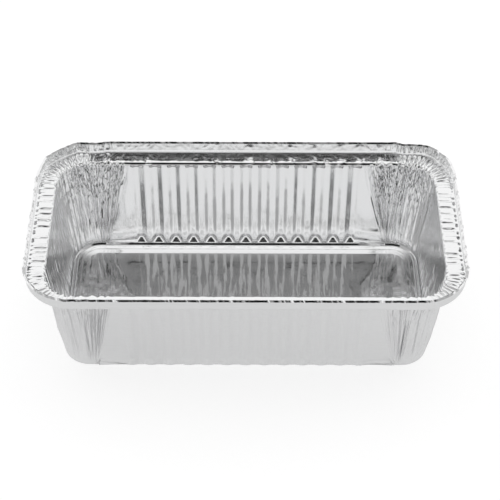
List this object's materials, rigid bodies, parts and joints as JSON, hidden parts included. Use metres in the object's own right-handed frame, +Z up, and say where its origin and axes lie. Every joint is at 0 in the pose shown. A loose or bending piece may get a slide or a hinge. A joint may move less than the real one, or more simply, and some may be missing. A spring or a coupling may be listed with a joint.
{
  "type": "foil loaf tray",
  "caption": "Deep rectangular loaf tray pressed from aluminium foil, with ribbed long walls, gathered corners and a flat ledge inside an upright flange with a rolled edge.",
  "frame": {"origin": "on the table, under the middle of the floor", "axes": "+X along the tray's length, +Y across it, +Z up through the opening"},
  "size_m": [0.2174, 0.114, 0.0644],
  "materials": {
    "foil": "bright rolled foil"
  },
  "bodies": {
    "root": {"foil_tray": "foil"}
  },
  "joints": []
}
